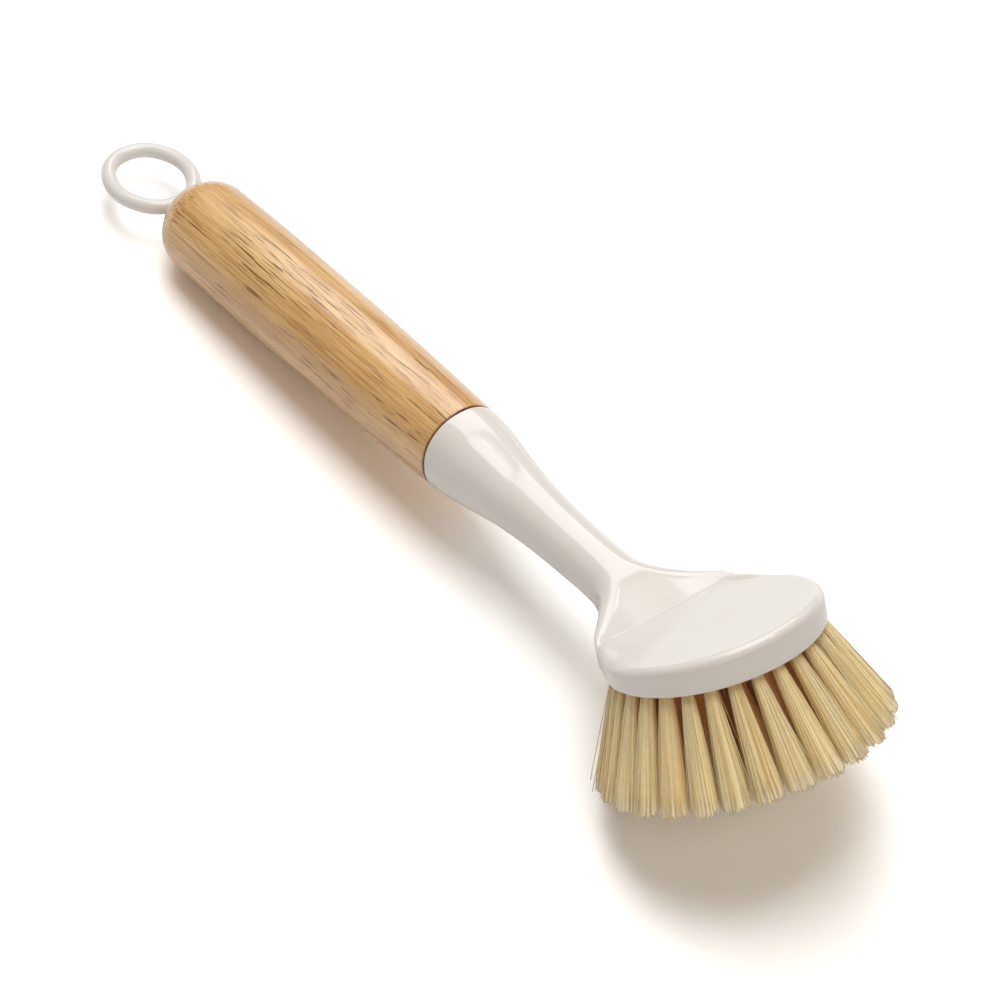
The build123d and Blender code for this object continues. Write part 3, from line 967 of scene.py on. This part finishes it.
def bristle_material():
    """Plant fibre: a tone for each fibre, painted shade in brown at the root and orange-brown inside the
    brush, and paler at the cut tip.
    """
    nodes = Nodes("bristle")
    tone = nodes.add("ShaderNodeAttribute", {"attribute_name": "tone"}).outputs["Fac"]
    along = nodes.add("ShaderNodeAttribute", {"attribute_name": "along"}).outputs["Fac"]
    colour = nodes.ramp(tone, *FIBRE_RAMP)
    # Painted shade: inner tufts and the inward side of the outer ones turn orange-brown towards the root
    inside = nodes.add("ShaderNodeAttribute", {"attribute_name": "inside"}).outputs["Fac"]
    deep_shade = nodes.math("MULTIPLY", nodes.range(along, *DEEP_SHADE_SHARES), inside)
    colour = nodes.mix(deep_shade, colour, FIBRE_DEEP_SHADE)
    # Painted shade at the roots under the head, fading out along the first fifth of the height
    colour = nodes.mix(nodes.range(along, *ROOT_SHADE_SHARES), colour, FIBRE_ROOT_SHADE)
    colour = nodes.mix(nodes.range(along, *TIP_SHARES), colour, FIBRE_TIP)
    vector = nodes.add("ShaderNodeTexCoord").outputs["Object"]
    patch = nodes.noise(vector, PATCH_CELLS)
    colour = nodes.mix(nodes.range(patch, *PATCH_SHARES), colour, FIBRE_PATCH)
    nodes.surface(Base_Color=colour, Roughness=FIBRE_ROUGHNESS, Specular_IOR_Level=SPECULAR,
                  Sheen_Weight=SHEEN_SHARE, Sheen_Roughness=SHEEN_ROUGHNESS, Sheen_Tint=FIBRE_SHEEN)
    return nodes.material


def steel_material():
    """Galvanised flat wire: grey metal with a faint cloudy dulling."""
    nodes = Nodes("staple_steel")
    vector = nodes.add("ShaderNodeTexCoord").outputs["Object"]
    cloud = nodes.noise(vector, STEEL_CELLS, detail=3.0)
    nodes.surface(Base_Color=nodes.ramp(cloud, *STEEL_RAMP), Roughness=nodes.range(cloud, *STEEL_GLOSS),
                  Metallic=1.0)
    nodes.bump(cloud, STEEL_RELIEF, STEEL_RELIEF_STRENGTH)
    return nodes.material


def floor_material():
    """White paper. The camera sees it half as bright again as it is, so that it clears to plain white."""
    nodes = Nodes("floor_paper")
    vector = nodes.add("ShaderNodeTexCoord").outputs["Object"]
    tint = nodes.noise(vector, PAPER_CELLS)
    seen = nodes.add("ShaderNodeLightPath").outputs["Is Camera Ray"]
    paper_level = nodes.range(tint, 0.0, 1.0, *PAPER_LEVELS)
    level = nodes.math("ADD", paper_level, nodes.math("MULTIPLY", seen, FLOOR_LIFT))
    paper = nodes.add("ShaderNodeBsdfDiffuse", Color=level)
    nodes.tree.nodes.remove(nodes.shader)
    nodes.tree.links.new(paper.outputs["BSDF"], nodes.tree.nodes["Material Output"].inputs["Surface"])
    return nodes.material


# Stage

# The camera, fitted to the photograph in the design frame. Its axes are right, up and back. Offset,
# distance, lens and sensor are in millimetres, and the clip distances in metres.
CAMERA_RIGHT = (0.6022, 0.7981, -0.0202)
CAMERA_UP = (-0.5242, 0.4144, 0.7440)
CAMERA_BACK = (0.6022, -0.4374, 0.6679)
CAMERA_DISTANCE = 1218.39
CAMERA_OFFSET = (9.2871, -12.7471)
CAMERA_LENS = 180.13
SENSOR = 36.0
CLIP_START = 0.05
CLIP_END = 20

# The floor's half side and the height of the lights' aim, in metres
FLOOR_HALF = 3.0
AIM_HEIGHT = 0.02

# What is added to the floor's level for the camera, and the level and colour of the surroundings
FLOOR_LIFT = 0.47
WORLD_LEVEL = 0.15
WORLD_TINT = (1.0, 0.93, 0.87)

# Softboxes: name, direction from the object, distance, line of their length, size, power and colour.
# Directions are in the design frame, distances and sizes in metres, and power in watts.
SOFTBOXES = (
    ("key_softbox", (-0.54, 0.35, 0.77), 1.5, (0, 0.9, -0.43), (1.3, 0.60), 8.2, (1, 1, 1)),
    ("top_softbox", (-0.02, 0.15, 0.985), 1.5, (1, 0, 0), (1.0, 1.0), 13.2, (1, 1, 1)),
    ("low_card", (0.70, -0.66, 0.26), 1.4, (1, 1, 0), (1.0, 0.4), 0.7, (1.0, 0.92, 0.82)),
    ("fill_card", (0.80, -0.15, 0.58), 1.4, (0.15, 0.8, 0), (1.1, 0.8), 3.5, (1.0, 0.88, 0.78)),
)


def turn_to_part(direction):
    """Direction in the part for a direction in the design frame: a turn by the pitch."""
    x, y, z = direction
    return Vector((x * math.cos(PITCH) - z * math.sin(PITCH), y, x * math.sin(PITCH) + z * math.cos(PITCH)))


def make_camera():
    """The camera of the photograph, from its fitted axes, offset, distance and lens."""
    right, up, back = (np.array(axis) for axis in (CAMERA_RIGHT, CAMERA_UP, CAMERA_BACK))
    spot = right * CAMERA_OFFSET[0] + up * CAMERA_OFFSET[1] + back * CAMERA_DISTANCE
    data = bpy.data.cameras.new("camera")
    data.lens = CAMERA_LENS
    data.sensor_width = SENSOR
    data.clip_start, data.clip_end = CLIP_START, CLIP_END
    camera = bpy.data.objects.new("camera", data)
    bpy.context.scene.collection.objects.link(camera)
    columns = [turn_to_part(axis) for axis in (right, up, back)]
    pose = Matrix(columns).transposed().to_4x4()
    pose.translation = Vector(place(spot))
    camera.matrix_world = pose
    bpy.context.scene.camera = camera


def soft_light(name, direction, distance, along, size, power, colour):
    """Rectangular softbox that faces the object's middle from a direction, with its length along a line."""
    data = bpy.data.lights.new(name, "AREA")
    data.shape = "RECTANGLE"
    data.size, data.size_y = size
    data.energy = power
    data.color = colour
    lamp = bpy.data.objects.new(name, data)
    bpy.context.scene.collection.objects.link(lamp)
    back = turn_to_part(direction).normalized()
    side = turn_to_part(along)
    side = (side - back * side.dot(back)).normalized()
    pose = Matrix([side, back.cross(side), back]).transposed().to_4x4()
    pose.translation = back * distance + Vector((0, 0, AIM_HEIGHT))
    lamp.matrix_world = pose


def make_world(strength, colour):
    """Even surroundings: white to the camera, and of this strength and colour to everything else."""
    world = bpy.data.worlds.new("studio")
    bpy.context.scene.world = world
    world.use_nodes = True
    tree = world.node_tree
    back = tree.nodes["Background"]
    path = tree.nodes.new("ShaderNodeLightPath")
    level = tree.nodes.new("ShaderNodeMix")
    level.data_type = "FLOAT"
    tree.links.new(path.outputs["Is Camera Ray"], level.inputs[MIX_SHARE])
    for number, value in zip(MIX_FLOATS, (strength, 1.0)):
        level.inputs[number].default_value = value
    tree.links.new(level.outputs[0], back.inputs["Strength"])
    tint = tree.nodes.new("ShaderNodeMix")
    tint.data_type = "RGBA"
    tree.links.new(path.outputs["Is Camera Ray"], tint.inputs[MIX_SHARE])
    for number, value in zip(MIX_COLOURS, ((*colour, 1), (1, 1, 1, 1))):
        tint.inputs[number].default_value = value
    tree.links.new(tint.outputs[MIX_COLOUR_RESULT], back.inputs["Color"])


def make_stage():
    """Paper floor, surroundings and softboxes."""
    half = FLOOR_HALF
    mesh = bpy.data.meshes.new("floor")
    corners = [(-half, -half, 0), (half, -half, 0), (half, half, 0), (-half, half, 0)]
    mesh.from_pydata(corners, [], [(0, 1, 2, 3)])
    mesh.materials.append(floor_material())
    floor = bpy.data.objects.new("floor", mesh)
    bpy.context.scene.collection.objects.link(floor)
    make_world(WORLD_LEVEL, WORLD_TINT)
    for softbox in SOFTBOXES:
        soft_light(*softbox)


scene = bpy.context.scene
scene.view_settings.view_transform = "Standard"

bamboo = bamboo_material()
body_plastic = moulded_material("body_plastic", BODY_WHITES, BODY_ROUGHNESS)
loop_plastic = moulded_material("loop_plastic", LOOP_WHITES, LOOP_ROUGHNESS)
bristle = bristle_material()
steel = steel_material()

for holder in frame["nodes"]["staples"].material_slots:
    holder.material = steel

body = brush_body(body_plastic)
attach(body, "root")
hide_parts("brush_body")

grip = bamboo_grip(bamboo)
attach(grip, "root")
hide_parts("bamboo_grip")

for part in hanging_loop(loop_plastic):
    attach(part, "root")
    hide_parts("hanging_loop")

for ring_name, tuft_number, ring_radius, ring_turn in tuft_places():
    tuft = tuft_piece(ring_name, tuft_number, ring_radius, ring_turn, bristle)
    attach(tuft, "root")
    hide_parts(f"{ring_name}_tuft_{tuft_number:02d}")

make_camera()
make_stage()
